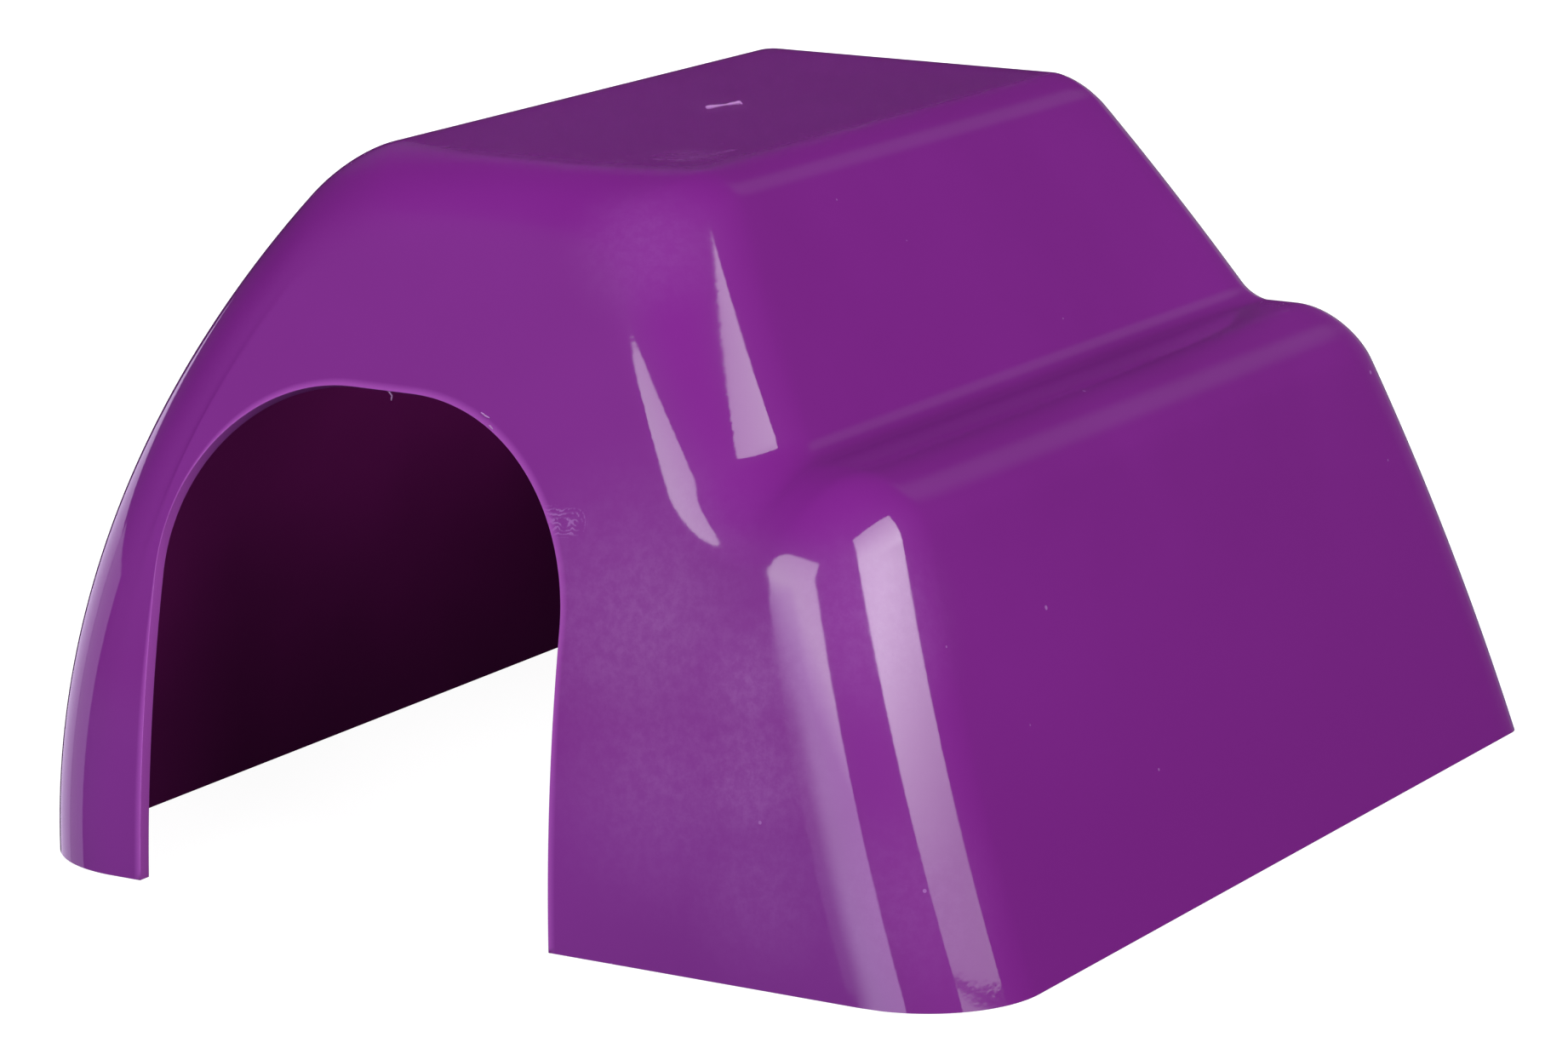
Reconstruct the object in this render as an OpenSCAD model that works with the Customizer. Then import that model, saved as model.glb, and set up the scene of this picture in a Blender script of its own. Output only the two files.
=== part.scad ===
// Guinea pig house: a one-piece moulded shell, open underneath, with an arched doorway.
// The origin is at the middle of the base, +Z is up and the doorway faces -Y.

/* [Overall] */
// Width across the base
house_w = 232; // [215:1:260]
// Depth from the front wall to the rear wall at the base
house_d = 260; // [220:1:320]
// Height of the flat roof above the base
house_h = 150; // [142:1:165]
// Wall thickness of the moulding
wall_t = 3; // [2:0.1:3.5]

/* [Walls] */
// Radius of the front wall's upright curve
front_curve_r = 326; // [300:1:600]
// Radius of the rear wall's upright curve
rear_curve_r = 320; // [300:1:600]
// Lean of the rear wall where it leaves the base, in degrees
rear_lean = 4; // [0:0.5:6]
// Radius of the left wall's upright curve
left_curve_r = 227; // [220:1:400]
// Lean of the right wall below the ledge, in degrees
lower_lean = 19; // [14:0.5:22]
// Lean of the right wall above the ledge, in degrees
upper_lean = 31.5; // [26:0.5:34]

/* [Ledge] */
// Height of the ledge on the right wall
ledge_h = 98.4; // [88:0.1:104]
// Width of the ledge, between the lines where both walls would meet it
ledge_w = 23.4; // [22:0.1:30]
// Rounding of the ledge's outer edge
ledge_edge_r = 12; // [8:0.5:14]
// Rounding where the ledge meets the wall above it
ledge_root_r = 4; // [3:0.5:5]
// Rounding of the ledge's front end
ledge_front_r = 18.5; // [12:0.5:22]

/* [Roof] */
// Rounding between the left wall and the roof
roof_left_r = 9; // [5:0.5:14]
// Rounding between the right wall and the roof
roof_right_r = 6; // [4:0.5:10]
// Rounding between the front wall and the roof
roof_front_r = 12.5; // [8:0.5:16]

/* [Corners] */
// Front left corner radius at the base
front_left_r = 27; // [20:0.5:29]
// Front left corner radius at roof height
front_left_top_r = 23; // [14:0.5:26]
// Front right corner radius at the base
front_right_r = 25.5; // [20:0.5:32]
// Front right corner radius at roof height
front_right_top_r = 23.5; // [14:0.5:28]
// Radius of every rear edge
rear_edge_r = 6.5; // [4:0.5:10]

/* [Doorway] */
// Width of the doorway at its widest upright part
door_w = 98.6; // [90:0.2:104]
// Height of the doorway's crown
door_h = 106; // [96:0.5:112]
// Radius of the doorway's two upper corners
door_corner_r = 42; // [34:0.5:44]
// Place of the doorway's middle, to the left of the house's middle
door_x = -31.4; // [-34:0.2:-20]
// Draft of each doorway side, in degrees
door_draft = 0.8; // [0:0.1:1.5]

/* [Hidden] */

// Share of an end's rounding by which the roof's corners open out towards that end
roof_corner_growth = 0.6;
// Part of the roof's width, at each side, over which the end's rounding grows, and the share that it grows there
corner_reach = 0.4;
corner_share = 0.7;
// Share of an end's rounding by which the ledge's outer edge sharpens towards that end
edge_fade = 0.45;
// Share of the ledge's room that its root takes up at the front end
root_share = 0.76;
// Angle of the front rounding at which the strip to the doorway begins
strip_angle = 80;
// Part of the rear base line that closes the rear wall, on each side of its middle
rear_middle = house_w / 6;

// Number of steps along each stretch of the outline, from the left base to the right base
left_steps = 14;
roof_left_steps = 5;
roof_steps = 10;
roof_right_steps = 4;
upper_steps = 6;
root_steps = 4;
ledge_steps = 2;
edge_steps = 5;
lower_steps = 9;
// Number of steps from the rear base line to the doorway
rear_wall_steps = 4;
rear_edge_steps = 4;
body_steps = 4;
front_edge_steps = 8;
front_wall_steps = 4;

// Roundings of the front and of the rear: left base, left top, right base, right top, roof, ledge
front_edges = [front_left_r, front_left_top_r, front_right_r, front_right_top_r, roof_front_r, ledge_front_r];
rear_edges = [for (i = [0:5]) rear_edge_r];

// Doorway path: two drafted sides, two corner arcs and a flat crown
door_spring = door_h - door_corner_r;
door_flat = door_w / 2 - door_corner_r;
door_arc = door_corner_r * PI / 2;
door_length = 2 * (door_spring + door_arc + door_flat);

// Set-back of a wall that leaves the base upright and curves inward
function set_back(z, r) = r - sqrt(r * r - z * z);
function front_y(z) = -house_d / 2 + set_back(z, front_curve_r);
function rear_y(z) = house_d / 2 - z * tan(rear_lean) - set_back(z, rear_curve_r);
function left_x(z) = -house_w / 2 + set_back(z, left_curve_r);
function lower_x(z) = house_w / 2 - z * tan(lower_lean);
function upper_x(z) = lower_x(ledge_h) - ledge_w - (z - ledge_h) * tan(upper_lean);

// Corner radius of an end at a height, on its left and on its right
function left_r(e, z) = e[0] + (e[1] - e[0]) * z / house_h;
function right_r(e, z) = e[2] + (e[3] - e[2]) * z / house_h;
function mix(a, b, t) = a + (b - a) * t;
function shares(n) = [for (i = [0:n - 1]) i / n];
// The end's rounding grows from the roof's to a wall's: mostly along the roof's side, the rest as the wall turns over
function turn_r(wall_r, roof_r, t) = mix(wall_r, mix(roof_r, wall_r, corner_share), t * t);
function roof_r(e, t) =
    let (left = max(0, 1 - t / corner_reach))
    let (right = max(0, 1 - (1 - t) / corner_reach))
    e[4] + corner_share * (left * left * (e[1] - e[4]) + right * right * (e[3] - e[4]));

// Outline across the house, as [x, z, corner radius] from the left base over the roof to the right base.
// c is 0 on the body and grows to 1 where the rounded edge of an end meets that end's wall.
function outline(e, c) =
    let (top = house_h - e[4] * c)
    let (shelf = ledge_h - e[5] * c)
    let (rl = roof_left_r + roof_corner_growth * e[4] * c)
    let (rr = roof_right_r + roof_corner_growth * e[4] * c)
    let (edge = ledge_edge_r - edge_fade * e[5] * c)
    let (room = lower_x(shelf) - upper_x(shelf) - edge)
    let (root = mix(ledge_root_r, room, root_share * c * e[2] / front_right_r))
    let (roof_a = left_x(top) + left_r(e, top) * c + rl)
    let (roof_b = upper_x(top) - right_r(e, top) * c - rr)
    let (ledge_a = upper_x(shelf) - right_r(e, shelf) * c + root)
    let (ledge_b = lower_x(shelf) - right_r(e, shelf) * c - edge)
    concat(
        [for (t = shares(left_steps))
            let (z = (top - rl) * t)
            [left_x(z) + left_r(e, z) * c, z, left_r(e, z)]],
        [for (t = shares(roof_left_steps))
            let (z = top - rl + rl * sin(90 * t))
            [left_x(z) + left_r(e, z) * c + rl * (1 - cos(90 * t)), z, turn_r(left_r(e, z), e[4], t)]],
        [for (t = shares(roof_steps)) [mix(roof_a, roof_b, t), top, roof_r(e, t)]],
        [for (t = shares(roof_right_steps))
            let (z = top - rr + rr * cos(90 * t))
            [upper_x(z) - right_r(e, z) * c - rr * (1 - sin(90 * t)), z, turn_r(right_r(e, z), e[4], 1 - t)]],
        [for (t = shares(upper_steps))
            let (z = mix(top - rr, shelf + root, t))
            [upper_x(z) - right_r(e, z) * c, z, right_r(e, z)]],
        [for (t = shares(root_steps))
            let (z = shelf + root * (1 - sin(90 * t)))
            [upper_x(z) - right_r(e, z) * c + root * (1 - cos(90 * t)), z, mix(right_r(e, z), e[5], t)]],
        [for (t = shares(ledge_steps)) [mix(ledge_a, ledge_b, t), shelf, e[5]]],
        [for (t = shares(edge_steps))
            let (z = shelf - edge + edge * cos(90 * t))
            [lower_x(z) - right_r(e, z) * c - edge * (1 - sin(90 * t)), z, mix(e[5], right_r(e, z), t)]],
        [for (t = concat(shares(lower_steps), [1]))
            let (z = (shelf - edge) * (1 - t))
            [lower_x(z) - right_r(e, z) * c, z, right_r(e, z)]]
    );

// Point of the doorway path at a distance from the foot of its left side, as [x, z]
function door_point(s) =
    let (half = door_length / 2)
    let (side = s <= half ? -1 : 1)
    let (d = s <= half ? s : door_length - s)
    let (a = (d - door_spring) / door_corner_r * 180 / PI)
    let (rise = min(d, door_spring))
    let (p = d <= door_spring ? [door_w / 2 + (door_spring - rise) * tan(door_draft), rise]
        : a <= 90 ? [door_flat + door_corner_r * cos(a), door_spring + door_corner_r * sin(a)]
        : [half - d, door_h])
    [door_x + side * p[0], p[1]];

// Share of the doorway path that faces each point of the outline
left_end = left_steps;
roof_end = left_end + roof_left_steps + roof_steps + roof_right_steps;
edge_end = roof_end + upper_steps + root_steps + ledge_steps + edge_steps;
right_end = edge_end + lower_steps;
left_door = 0.38;
roof_door = 0.62;
edge_door = 0.82;
function door_share(i) =
    lookup(i, [[0, 0], [left_end, left_door], [roof_end, roof_door], [edge_end, edge_door], [right_end, 1]]);

// Lines of points from the rear base line to the doorway, each from the left base to the right base
function front_edge_line(a) =
    [for (p = outline(front_edges, 1 - cos(a))) [p[0], front_y(p[1]) + p[2] * (1 - sin(a)), p[1]]];
function rear_edge_line(a) =
    [for (p = outline(rear_edges, 1 - cos(a))) [p[0], rear_y(p[1]) - p[2] * (1 - sin(a)), p[1]]];
// The strip to the doorway first runs out the rest of the front rounding, then follows the front wall
function front_wall_line(ring, t) =
    [for (i = [0:len(ring) - 1])
        let (r = ring[i][2])
        let (p = [ring[i][0], ring[i][1]])
        let (q = mix(p, door_point(door_length * door_share(i)), t))
        let (left = max(0, cos(strip_angle) - norm(q - p) / r))
        [q[0], front_y(q[1]) + r * (1 - sqrt(1 - left * left)), q[1]]];
function rear_wall_line(ring, t) =
    let (last = len(ring) - 1)
    [for (i = [0:last])
        let (z = ring[i][2] * t)
        [mix(rear_middle * (2 * i / last - 1), ring[i][0], t), rear_y(z), z]];

rear_ring = rear_edge_line(90);
rear_start = rear_edge_line(0);
front_start = front_edge_line(0);
front_ring = outline(front_edges, 1 - cos(strip_angle));

outer = concat(
    [for (t = shares(rear_wall_steps)) rear_wall_line(rear_ring, t)],
    [for (t = shares(rear_edge_steps)) rear_edge_line(90 * (1 - t))],
    [for (t = shares(body_steps)) [for (i = [0:len(rear_start) - 1]) mix(rear_start[i], front_start[i], t)]],
    [for (t = shares(front_edge_steps)) front_edge_line(strip_angle * t)],
    [for (t = concat(shares(front_wall_steps), [1])) front_wall_line(front_ring, t)]
);
rows = len(outer);
cols = len(outer[0]);

// Outward normal of the outer skin, from the neighbouring points
function unit(v) = v / norm(v);
function normal(j, i) =
    let (k = max(1, min(i, cols - 2)))
    let (along = outer[j][min(i + 1, cols - 1)] - outer[j][max(i - 1, 0)])
    let (across = outer[min(j + 1, rows - 1)][k] - outer[max(j - 1, 0)][k])
    unit(cross(across, along));
// The inner skin lies one wall thickness inside, and its rim stays in the base plane
function inner_point(j, i) =
    let (p = outer[j][i])
    let (n = normal(j, i))
    let (flat = [n[0], n[1], 0])
    p[2] > 0 ? p - wall_t * n : p - wall_t * flat / (flat * flat);

points = concat(
    [for (j = [0:rows - 1]) for (i = [0:cols - 1]) outer[j][i]],
    [for (j = [0:rows - 1]) for (i = [0:cols - 1]) inner_point(j, i)]
);

// Triangles of both skins and of the rim that joins them
function at(j, i, skin) = skin * rows * cols + j * cols + i;
function quad(a, b, c, d) = [[a, b, c], [a, c, d]];
// A skin's quads are cut along opposite diagonals on the left and on the right
function skin_quad(j, i, skin) =
    let (q = [at(j, i, skin), at(j, i + 1, skin), at(j + 1, i + 1, skin), at(j + 1, i, skin)])
    let (k = i < cols / 2 ? 0 : 1)
    quad(q[k], q[k + 1], q[k + 2], q[(k + 3) % 4]);
function turned(face) = [face[2], face[1], face[0]];
faces = concat(
    [for (j = [0:rows - 2]) for (i = [0:cols - 2]) each skin_quad(j, i, 0)],
    [for (j = [0:rows - 2]) for (i = [0:cols - 2]) for (face = skin_quad(j, i, 1)) turned(face)],
    [for (i = [0:cols - 2])
        each quad(at(0, i, 0), at(0, i, 1), at(0, i + 1, 1), at(0, i + 1, 0))],
    [for (i = [0:cols - 2])
        each quad(at(rows - 1, i, 0), at(rows - 1, i + 1, 0), at(rows - 1, i + 1, 1), at(rows - 1, i, 1))],
    [for (j = [0:rows - 2])
        each quad(at(j, 0, 0), at(j + 1, 0, 0), at(j + 1, 0, 1), at(j, 0, 1))],
    [for (j = [0:rows - 2])
        each quad(at(j, cols - 1, 0), at(j, cols - 1, 1), at(j + 1, cols - 1, 1), at(j + 1, cols - 1, 0))]
);

module house_shell() {
    color("#7f308b")
        polyhedron(points = points, faces = faces, convexity = 6);
}

house_shell();
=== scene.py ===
"""Guinea pig house: a one-piece moulded shell, its finish, and a plain studio stage to show it on."""

import math

import bmesh
import bpy
from mathutils import Matrix, Vector


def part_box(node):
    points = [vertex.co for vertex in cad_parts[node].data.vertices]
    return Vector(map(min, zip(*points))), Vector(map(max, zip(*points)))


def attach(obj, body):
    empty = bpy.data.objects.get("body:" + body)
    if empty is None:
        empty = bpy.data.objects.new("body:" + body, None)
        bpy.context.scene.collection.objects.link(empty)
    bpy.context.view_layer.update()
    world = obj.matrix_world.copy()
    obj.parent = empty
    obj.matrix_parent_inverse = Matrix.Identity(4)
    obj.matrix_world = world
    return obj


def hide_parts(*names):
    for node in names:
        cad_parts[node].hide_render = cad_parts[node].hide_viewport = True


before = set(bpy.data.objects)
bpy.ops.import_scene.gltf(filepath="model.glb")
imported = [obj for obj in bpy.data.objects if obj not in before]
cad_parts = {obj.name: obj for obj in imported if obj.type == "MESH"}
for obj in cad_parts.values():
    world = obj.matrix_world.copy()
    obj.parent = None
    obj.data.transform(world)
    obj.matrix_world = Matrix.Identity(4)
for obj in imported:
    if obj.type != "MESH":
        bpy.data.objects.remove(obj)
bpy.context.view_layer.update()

bl_info = {
    "name": "Guinea Pig House",
    "version": (1, 0, 0),
    "blender": (4, 5, 0),
    "location": "View3D > Sidebar > House",
    "description": "Builds a moulded guinea pig house from its sizes, with its plastic finish and a stage",
    "category": "Object",
}

SHELL_NODE = "house_shell"
BODY = "root"
MM = 0.001
LOW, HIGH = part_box(SHELL_NODE)


def length(name, metres, description):
    """A size of the house, in metres."""
    return bpy.props.FloatProperty(
        name=name, description=description, default=metres, unit="LENGTH", precision=5
    )


def angle(name, degrees, description):
    """A lean or a draft, written in degrees."""
    return bpy.props.FloatProperty(
        name=name, description=description, default=math.radians(degrees), subtype="ANGLE"
    )


def share(name, value, description):
    """A plain number from 0 to 1."""
    return bpy.props.FloatProperty(
        name=name, description=description, default=value, min=0, max=1, subtype="FACTOR"
    )


def colour(name, rgb, description):
    """A linear colour."""
    return bpy.props.FloatVectorProperty(
        name=name, description=description, default=rgb, min=0, max=1, size=3, subtype="COLOR"
    )


def brightness(name, value, description):
    """The strength of a light."""
    return bpy.props.FloatProperty(name=name, description=description, default=value, min=0)


class HouseSizes(bpy.types.PropertyGroup):
    """Sizes that drive the shell's rule."""

    width: length("Width", HIGH.x - LOW.x, "Width across the base")
    depth: length("Depth", HIGH.y - LOW.y, "Depth from the front wall to the rear wall at the base")
    height: length("Height", HIGH.z - LOW.z, "Height of the flat roof above the base")
    wall: length("Wall", 3 * MM, "Wall thickness of the moulding")
    front_curve: length("Front Curve", 326 * MM, "Radius of the front wall's upright curve")
    rear_curve: length("Rear Curve", 320 * MM, "Radius of the rear wall's upright curve")
    rear_lean: angle("Rear Lean", 4, "Lean of the rear wall where it leaves the base")
    left_curve: length("Left Curve", 227 * MM, "Radius of the left wall's upright curve")
    lower_lean: angle("Lower Lean", 19, "Lean of the right wall below the ledge")
    upper_lean: angle("Upper Lean", 31.5, "Lean of the right wall above the ledge")
    ledge_height: length("Ledge Height", 98.4 * MM, "Height of the ledge on the right wall")
    ledge_width: length("Ledge Width", 23.4 * MM, "Width of the ledge between its two walls")
    ledge_edge: length("Ledge Edge", 12 * MM, "Rounding of the ledge's outer edge")
    ledge_root: length("Ledge Root", 4 * MM, "Rounding where the ledge meets the wall above it")
    ledge_front: length("Ledge Front", 18.5 * MM, "Rounding of the ledge's front end")
    roof_left: length("Roof Left", 9 * MM, "Rounding between the left wall and the roof")
    roof_right: length("Roof Right", 6 * MM, "Rounding between the right wall and the roof")
    roof_front: length("Roof Front", 12.5 * MM, "Rounding between the front wall and the roof")
    left_corner: length("Left Corner", 27 * MM, "Front left corner radius at the base")
    left_corner_top: length("Left Corner Top", 23 * MM, "Front left corner radius at the roof")
    right_corner: length("Right Corner", 25.5 * MM, "Front right corner radius at the base")
    right_corner_top: length("Right Corner Top", 23.5 * MM, "Front right corner radius at the roof")
    rear_edge: length("Rear Edge", 6.5 * MM, "Radius of every rear edge")
    door_width: length("Door Width", 98.6 * MM, "Width of the doorway's upright part")
    door_height: length("Door Height", 106 * MM, "Height of the doorway's crown")
    door_corner: length("Door Corner", 42 * MM, "Radius of the doorway's two upper corners")
    door_middle: length("Door Middle", -31.4 * MM, "Place of the doorway's middle along X")
    door_draft: angle("Door Draft", 0.8, "Draft of each doorway side")
    rim_round: length("Rim Rounding", 1.35 * MM, "Rounding of the doorway's cut edge")
    rim_support: length("Rim Support", 1.7 * MM, "Distance of the last row of points from the doorway")


class HouseMarks(bpy.types.PropertyGroup):
    """Sizes of the marks that the mould left."""

    spacing: length("Spacing", 0.15 * MM, "Distance between the dots of a mark")
    flatness: share("Flatness", 0.7, "Height of a dot as a share of its width")
    unevenness: share("Unevenness", 0.3, "How far the dots differ in size")


class HouseFinish(bpy.types.PropertyGroup):
    """Colours and gloss of the plastic, some of them painted shade and painted light."""

    purple: colour("Purple", (0.207, 0.0185, 0.256), "Colour of the moulded plastic")
    # Deep Purple is the darker tone of the moulding's flow, and also painted shade low on the right
    deep_purple: colour("Deep Purple", (0.179, 0.015, 0.219), "Darker colour where the pigment is denser")
    # Haze is the colour of dust and scuffs, and of painted sheen at the rubbed places beside the highlights
    haze: colour("Haze", (0.42, 0.19, 0.52), "Colour of rubbed places and dust")
    # Painted shade: the inside's colour is a darker, redder copy of the purple, standing in for the inside's
    # shade and for red light coming through the thin walls
    inside_purple: colour("Inside Purple", (0.117, 0.008, 0.09), "Redder colour of the shaded inside")
    # Rim Purple is painted light: the doorway's cut edge is painted paler, as if lit
    rim_purple: colour("Rim Purple", (0.36, 0.07, 0.42), "Paler colour of the thin doorway edge")
    whitened: colour("Whitened", (0.38, 0.21, 0.4), "Colour of the stretched plastic of mould marks")
    body_roughness: share("Body Roughness", 0.42, "Roughness of the plastic under its clear skin")
    roughness: share("Roughness", 0.05, "Roughness of the clear skin")
    rubbed_roughness: share("Rubbed Roughness", 0.42, "Roughness of rubbed places")


class HouseStage(bpy.types.PropertyGroup):
    """Light and floor of the stage."""

    floor: colour("Floor", (0.16, 0.16, 0.16), "Colour of the pale floor")
    softbox: brightness("Softbox", 3.7, "Brightness of the softboxes")
    overhead: brightness("Overhead", 0.6, "Brightness of the panel overhead")
    left: brightness("Left", 5.0, "Brightness of the low panel ahead on the left")
    rear: brightness("Rear", 24.5, "Brightness of the panel behind on the left")
    inside: brightness("Inside", 4.0, "Brightness of the light that passes through the roof")
    ambient: brightness("Ambient", 0.15, "Even light from all round")


class Field:
    """A number over a mesh: a socket whose arithmetic adds math nodes to its tree."""

    def __init__(self, socket):
        self.socket = socket

    def __add__(self, other):
        return math_node("ADD", self, other)

    def __radd__(self, other):
        return math_node("ADD", other, self)

    def __sub__(self, other):
        return math_node("SUBTRACT", self, other)

    def __rsub__(self, other):
        return math_node("SUBTRACT", other, self)

    def __mul__(self, other):
        return math_node("MULTIPLY", self, other)

    def __rmul__(self, other):
        return math_node("MULTIPLY", other, self)

    def __truediv__(self, other):
        return math_node("DIVIDE", self, other)

    def __neg__(self):
        return math_node("MULTIPLY", self, -1.0)


def set_inputs(node, values):
    """Link a field or a socket to an input of a node, or set the input to a plain value."""
    for name, value in values.items():
        if isinstance(value, Field):
            value = value.socket
        if isinstance(value, bpy.types.NodeSocket):
            node.id_data.links.new(value, node.inputs[name])
        else:
            node.inputs[name].default_value = value


def add_node(tree, kind, links=(), **settings):
    """A node with its settings, with inputs linked or set by name or number."""
    node = tree.nodes.new(kind)
    for name, value in settings.items():
        setattr(node, name, value)
    set_inputs(node, dict(links))
    return node


def made(tree, kind, links=(), **settings):
    """The first output of a new node."""
    return add_node(tree, kind, links, **settings).outputs[0]


def math_node(operation, *values, clamp=False):
    """The result of one math node fed with fields and plain numbers."""
    tree = next(v.socket.id_data for v in values if isinstance(v, Field))
    links = dict(enumerate(values))
    return Field(made(tree, "ShaderNodeMath", links, operation=operation, use_clamp=clamp))


def sine(a):
    return math_node("SINE", a)


def cosine(a):
    return math_node("COSINE", a)


def root_of(a):
    return math_node("SQRT", math_node("MAXIMUM", a, 0.0))


def mix(a, b, part):
    return a + (b - a) * part


def below(a, b):
    return math_node("LESS_THAN", a, b)


def part_of(field, start, end):
    """How far the field has gone from start to end, kept within 0 and 1."""
    return math_node("DIVIDE", field - start, float(end - start), clamp=True)


def pick(test, yes, no):
    """One of two fields, point by point."""
    links = {"Switch": test, "True": yes, "False": no}
    return Field(made(test.socket.id_data, "GeometryNodeSwitch", links, input_type="FLOAT"))


# Points along each stretch of the outline, from the left base over the roof to the right base
OUTLINE_STEPS = {
    "left": 48, "roof_left": 14, "roof": 24, "roof_right": 14, "upper": 24,
    "root": 14, "ledge": 8, "edge": 16, "lower": 40,
}
# Rows of points from the rear base line to the doorway
ROW_STEPS = {"rear_wall": 16, "rear_edge": 8, "body": 24, "front_edge": 30, "strip": 16}
QUARTER = math.pi / 2
# Turn of the front edge at which the strip to the doorway starts
STRIP_ANGLE = math.radians(80)
# How far the roof's side roundings open as the front edge turns down
ROOF_CORNER_GROWTH = 0.6
# Part of the roof's width, at each side, over which the front rounding grows, and its growth there
CORNER_REACH = 0.4
CORNER_SHARE = 0.7
# How far the ledge's edge closes and its root opens as the front edge turns down
EDGE_FADE = 0.45
ROOT_SHARE = 0.76
# The rear wall's rows start from a line on the base: the width over this number
REAR_LINE_DIVISOR = 3.0
# Part of the doorway path that faces the end of the left wall, of the roof and of the ledge's edge
DOOR_PARTS = {"left": 0.38, "roof_right": 0.62, "edge": 0.82, "lower": 1.0}


def ends_of(steps):
    """Start and end of each stretch, counted in steps."""
    spans, start = {}, 0
    for name, count in steps.items():
        spans[name] = (start, start + count)
        start += count
    return spans


class ShellRule:
    """The rule of the outer skin: where each point of a flat grid lies on the house."""

    def __init__(self, size, column, row):
        self.size = size
        self.spans = ends_of(OUTLINE_STEPS)
        self.column = column
        rows = ends_of(ROW_STEPS)
        self.rear_wall = part_of(row, *rows["rear_wall"])
        self.body = part_of(row, *rows["body"])
        self.row = row
        self.strip_span = rows["strip"]
        turned_in = part_of(row, *rows["rear_edge"])
        turned_out = part_of(row, *rows["front_edge"])
        self.edge_angle = (1.0 - turned_in) * QUARTER + turned_out * STRIP_ANGLE
        self.inset = 1.0 - cosine(self.edge_angle)
        self.is_rear = below(row, rows["body"][0] - 0.5)

    def curve_back(self, z, radius):
        return radius - root_of(radius * radius - z * z)

    def front_y(self, z):
        return self.curve_back(z, self.size["front_curve"]) - self.size["depth"] * 0.5

    def rear_y(self, z):
        lean = z * math_node("TANGENT", self.size["rear_lean"])
        return self.size["depth"] * 0.5 - lean - self.curve_back(z, self.size["rear_curve"])

    def left_x(self, z):
        return self.curve_back(z, self.size["left_curve"]) - self.size["width"] * 0.5

    def lower_x(self, z):
        return self.size["width"] * 0.5 - z * math_node("TANGENT", self.size["lower_lean"])

    def upper_x(self, z):
        foot = self.lower_x(self.size["ledge_height"]) - self.size["ledge_width"]
        rise = z - self.size["ledge_height"]
        return foot - rise * math_node("TANGENT", self.size["upper_lean"])

    def end_radius(self, name):
        """A rounding of the front end, or the rear edge's where the point belongs to the rear."""
        return pick(self.is_rear, self.size["rear_edge"], self.size[name])

    def side_radius(self, side, z):
        base, top = self.end_radius(f"{side}_corner"), self.end_radius(f"{side}_corner_top")
        return mix(base, top, z / self.size["height"])

    def left_radius(self, z):
        return self.side_radius("left", z)

    def right_radius(self, z):
        return self.side_radius("right", z)

    def along(self, stretch):
        return part_of(self.column, *self.spans[stretch])

    def turn_radius(self, wall_r, roof_r, turn):
        """Front rounding where a wall turns over to the roof: the rest of its growth."""
        return mix(wall_r, mix(roof_r, wall_r, CORNER_SHARE), turn * turn)

    def roof_radius(self, roof_r):
        """Front rounding along the roof: it grows towards both sides."""
        across = self.along("roof")
        left = math_node("MAXIMUM", 1.0 - across / CORNER_REACH, 0.0)
        right = math_node("MAXIMUM", 1.0 - (1.0 - across) / CORNER_REACH, 0.0)
        left_growth = (self.end_radius("left_corner_top") - roof_r) * left * left
        right_growth = (self.end_radius("right_corner_top") - roof_r) * right * right
        return roof_r + (left_growth + right_growth) * CORNER_SHARE

    def left_wall_x(self, z):
        return self.left_x(z) + self.left_radius(z) * self.inset

    def upper_wall_x(self, z):
        return self.upper_x(z) - self.right_radius(z) * self.inset

    def lower_wall_x(self, z):
        return self.lower_x(z) - self.right_radius(z) * self.inset

    def outline(self):
        """X, Z and edge radius of the outline that the point's row follows."""
        size, c = self.size, self.inset
        roof_r, ledge_r = self.end_radius("roof_front"), self.end_radius("ledge_front")
        top = size["height"] - roof_r * c
        shelf = size["ledge_height"] - ledge_r * c
        opened = roof_r * c * ROOF_CORNER_GROWTH
        left_r, right_r = size["roof_left"] + opened, size["roof_right"] + opened
        edge = size["ledge_edge"] - ledge_r * c * EDGE_FADE
        room = self.lower_x(shelf) - self.upper_x(shelf) - edge
        grown = c * self.end_radius("right_corner") / size["right_corner"] * ROOT_SHARE
        root = mix(size["ledge_root"], room, grown)

        left_z = (top - left_r) * self.along("left")
        turn = self.along("roof_left")
        roof_left_z = top - left_r + left_r * sine(turn * QUARTER)
        roof_left_x = self.left_wall_x(roof_left_z) + left_r * (1.0 - cosine(turn * QUARTER))
        roof_left_radius = self.turn_radius(self.left_radius(roof_left_z), roof_r, turn)
        roof_x = mix(self.left_wall_x(top) + left_r, self.upper_wall_x(top) - right_r, self.along("roof"))
        turn = self.along("roof_right")
        roof_right_z = top - right_r + right_r * cosine(turn * QUARTER)
        roof_right_x = self.upper_wall_x(roof_right_z) - right_r * (1.0 - sine(turn * QUARTER))
        roof_right_radius = self.turn_radius(self.right_radius(roof_right_z), roof_r, 1.0 - turn)
        upper_z = mix(top - right_r, shelf + root, self.along("upper"))
        turn = self.along("root")
        root_z = shelf + root * (1.0 - sine(turn * QUARTER))
        root_x = self.upper_wall_x(root_z) + root * (1.0 - cosine(turn * QUARTER))
        root_radius = mix(self.right_radius(root_z), ledge_r, turn)
        ledge_x = mix(self.upper_wall_x(shelf) + root, self.lower_wall_x(shelf) - edge, self.along("ledge"))
        turn = self.along("edge")
        edge_z = shelf - edge + edge * cosine(turn * QUARTER)
        edge_x = self.lower_wall_x(edge_z) - edge * (1.0 - sine(turn * QUARTER))
        edge_radius = mix(ledge_r, self.right_radius(edge_z), turn)
        lower_z = (shelf - edge) * (1.0 - self.along("lower"))

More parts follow.
